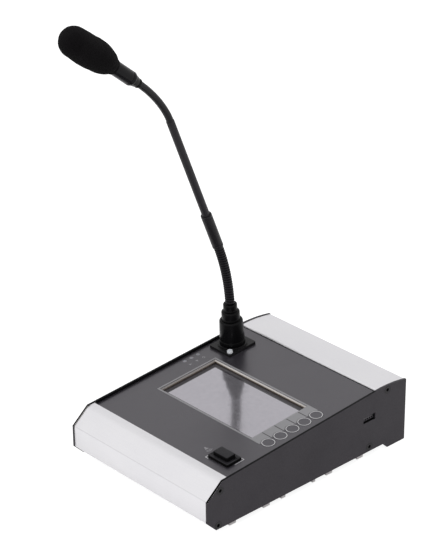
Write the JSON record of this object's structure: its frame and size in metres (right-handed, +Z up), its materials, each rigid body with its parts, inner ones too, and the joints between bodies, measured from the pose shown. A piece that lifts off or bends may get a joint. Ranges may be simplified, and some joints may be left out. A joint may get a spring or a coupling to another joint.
{
  "type": "desk paging microphone",
  "caption": "Sloped desk call station with a display, soft keys, a talk button and a plug-in gooseneck microphone with a foam windscreen.",
  "frame": {"origin": "on the desk, under the middle of the outline of the whole device seen from above", "axes": "+Z up from the desk, +X to the user's right, +Y away from the user"},
  "size_m": [0.165, 0.2366, 0.3882],
  "materials": {
    "plate_black": "matte powder coat",
    "silver_metal": "satin anodised",
    "dark_sheet": "matte",
    "bare_steel": "plain",
    "face_metal": "matte",
    "overlay_grey": "fine matte foil",
    "bezel_metal": "tinplate",
    "display_glass": "glossy",
    "backlight_white": "matte",
    "board_green": "solder mask",
    "inner_black": "matte",
    "key_grey": "satin",
    "button_black": "satin",
    "light_smoke": "glossy",
    "socket_black": "satin",
    "plug_black": "gloss",
    "contact_gold": "gold plated",
    "screw_black": "black oxide",
    "pad_grey": "matte",
    "jack_metal": "plated",
    "neck_black": "satin",
    "foam_black": "open-cell foam"
  },
  "bodies": {
    "base": {"left_side_plate": "plate_black", "right_side_plate": "plate_black", "front_panel": "silver_metal", "rear_cover": "silver_metal", "rear_panel": "dark_sheet", "rear_crossbar": "bare_steel", "bottom_plate": "dark_sheet", "face_plate": "face_metal", "overlay": "overlay_grey", "lcd_bezel": "bezel_metal", "lcd_panel": "display_glass", "lcd_backlight": "backlight_white", "main_board": "board_green", "board_spacers": "bare_steel", "key_board": "board_green", "key_switches": "inner_black", "talk_frame": "button_black", "talk_spring": "bare_steel", "talk_switch": "inner_black", "status_lights": "light_smoke", "socket_shell": "socket_black", "socket_insert": "inner_black", "socket_contacts": "contact_gold", "socket_screws": "bare_steel", "case_screws": "screw_black", "foot_pads": "pad_grey", "expansion_header": "inner_black", "network_socket": "jack_metal", "power_socket": "inner_black"},
    "soft_key_1": {"key_1": "key_grey"},
    "soft_key_2": {"key_2": "key_grey"},
    "soft_key_3": {"key_3": "key_grey"},
    "soft_key_4": {"key_4": "key_grey"},
    "soft_key_5": {"key_5": "key_grey"},
    "talk_button": {"talk_button": "button_black"},
    "plug": {"plug_shell": "plug_black", "plug_insert": "inner_black", "plug_pins": "contact_gold", "plug_boot": "plug_black", "plug_ferrule": "plug_black", "lower_neck_1": "neck_black"},
    "lower_link_1": {"lower_neck_2": "neck_black"},
    "lower_link_2": {"lower_neck_3": "neck_black"},
    "lower_link_3": {"lower_neck_4": "neck_black"},
    "lower_link_4": {"lower_neck_5": "neck_black"},
    "lower_link_5": {"lower_neck_6": "neck_black"},
    "stem": {"lower_neck_7": "neck_black", "neck_sleeve": "neck_black", "stem_tube": "neck_black", "upper_neck_1": "neck_black"},
    "upper_link_1": {"upper_neck_2": "neck_black"},
    "upper_link_2": {"upper_neck_3": "neck_black"},
    "upper_link_3": {"upper_neck_4": "neck_black"},
    "upper_link_4": {"upper_neck_5": "neck_black"},
    "upper_link_5": {"upper_neck_6": "neck_black"},
    "head": {"upper_neck_7": "neck_black", "capsule_housing": "neck_black", "mic_capsule": "bare_steel", "foam_windscreen": "foam_black"}
  },
  "joints": [
    {"name": "key_1_press", "type": "slide", "parent": "base", "child": "soft_key_1", "axis": [0, -0.0715, 0.9974], "range_m": [-0.0005, 0], "stiffness_N_per_m": 1500, "springref_m": 0.0007},
    {"name": "key_2_press", "type": "slide", "parent": "base", "child": "soft_key_2", "axis": [0, -0.0715, 0.9974], "range_m": [-0.0005, 0], "stiffness_N_per_m": 1500, "springref_m": 0.0007},
    {"name": "key_3_press", "type": "slide", "parent": "base", "child": "soft_key_3", "axis": [0, -0.0715, 0.9974], "range_m": [-0.0005, 0], "stiffness_N_per_m": 1500, "springref_m": 0.0007},
    {"name": "key_4_press", "type": "slide", "parent": "base", "child": "soft_key_4", "axis": [0, -0.0715, 0.9974], "range_m": [-0.0005, 0], "stiffness_N_per_m": 1500, "springref_m": 0.0007},
    {"name": "key_5_press", "type": "slide", "parent": "base", "child": "soft_key_5", "axis": [0, -0.0715, 0.9974], "range_m": [-0.0005, 0], "stiffness_N_per_m": 1500, "springref_m": 0.0007},
    {"name": "talk_press", "type": "slide", "parent": "base", "child": "talk_button", "axis": [0, -0.0715, 0.9974], "range_m": [-0.0025, 0], "stiffness_N_per_m": 800, "springref_m": 0.0015, "deforming": ["talk_spring"]},
    {"name": "unplug", "type": "slide", "parent": "base", "child": "plug", "axis": [0, -0.0715, 0.9974], "range_m": [0, 0.02]},
    {"name": "lower_nod_1", "type": "hinge", "parent": "plug", "child": "lower_link_1", "pos_m": [-0.0631, 0.05235, 0.10317], "axis": [1, 0, 0], "range_deg": [-15, 15]},
    {"name": "lower_sway_1", "type": "hinge", "parent": "lower_link_1", "child": "lower_link_2", "pos_m": [-0.0631, 0.05113, 0.11309], "axis": [0, 0.989, 0.1482], "range_deg": [-15, 15]},
    {"name": "lower_nod_2", "type": "hinge", "parent": "lower_link_2", "child": "lower_link_3", "pos_m": [-0.0631, 0.04939, 0.12294], "axis": [1, 0, 0], "range_deg": [-15, 15]},
    {"name": "lower_sway_2", "type": "hinge", "parent": "lower_link_3", "child": "lower_link_4", "pos_m": [-0.0631, 0.04715, 0.13269], "axis": [0, 0.9685, 0.2491], "range_deg": [-15, 15]},
    {"name": "lower_nod_3", "type": "hinge", "parent": "lower_link_4", "child": "lower_link_5", "pos_m": [-0.0631, 0.04441, 0.1423], "axis": [1, 0, 0], "range_deg": [-15, 15]},
    {"name": "lower_sway_3", "type": "hinge", "parent": "lower_link_5", "child": "stem", "pos_m": [-0.0631, 0.04118, 0.15177], "axis": [0, 0.9377, 0.3473], "range_deg": [-15, 15]},
    {"name": "upper_nod_1", "type": "hinge", "parent": "stem", "child": "upper_link_1", "pos_m": [-0.0631, -0.01354, 0.28857], "axis": [1, 0, 0], "range_deg": [-15, 15]},
    {"name": "upper_sway_1", "type": "hinge", "parent": "upper_link_1", "child": "upper_link_2", "pos_m": [-0.0631, -0.01787, 0.29607], "axis": [0, 0.843, 0.538], "range_deg": [-15, 15]},
    {"name": "upper_nod_2", "type": "hinge", "parent": "upper_link_2", "child": "upper_link_3", "pos_m": [-0.0631, -0.02285, 0.30316], "axis": [1, 0, 0], "range_deg": [-15, 15]},
    {"name": "upper_sway_2", "type": "hinge", "parent": "upper_link_3", "child": "upper_link_4", "pos_m": [-0.0631, -0.02836, 0.30985], "axis": [0, 0.7497, 0.6618], "range_deg": [-15, 15]},
    {"name": "upper_nod_3", "type": "hinge", "parent": "upper_link_4", "child": "upper_link_5", "pos_m": [-0.0631, -0.03432, 0.31615], "axis": [1, 0, 0], "range_deg": [-15, 15]},
    {"name": "upper_sway_3", "type": "hinge", "parent": "upper_link_5", "child": "head", "pos_m": [-0.0631, -0.04066, 0.32205], "axis": [0, 0.6589, 0.7522], "range_deg": [-15, 15]}
  ],
  "couplings": [
    {"joint": "lower_nod_2", "follows": "lower_nod_1", "ratio": 1},
    {"joint": "lower_sway_2", "follows": "lower_sway_1", "ratio": 1},
    {"joint": "lower_nod_3", "follows": "lower_nod_1", "ratio": 1},
    {"joint": "lower_sway_3", "follows": "lower_sway_1", "ratio": 1},
    {"joint": "upper_nod_2", "follows": "upper_nod_1", "ratio": 1},
    {"joint": "upper_sway_2", "follows": "upper_sway_1", "ratio": 1},
    {"joint": "upper_nod_3", "follows": "upper_nod_1", "ratio": 1},
    {"joint": "upper_sway_3", "follows": "upper_sway_1", "ratio": 1}
  ]
}
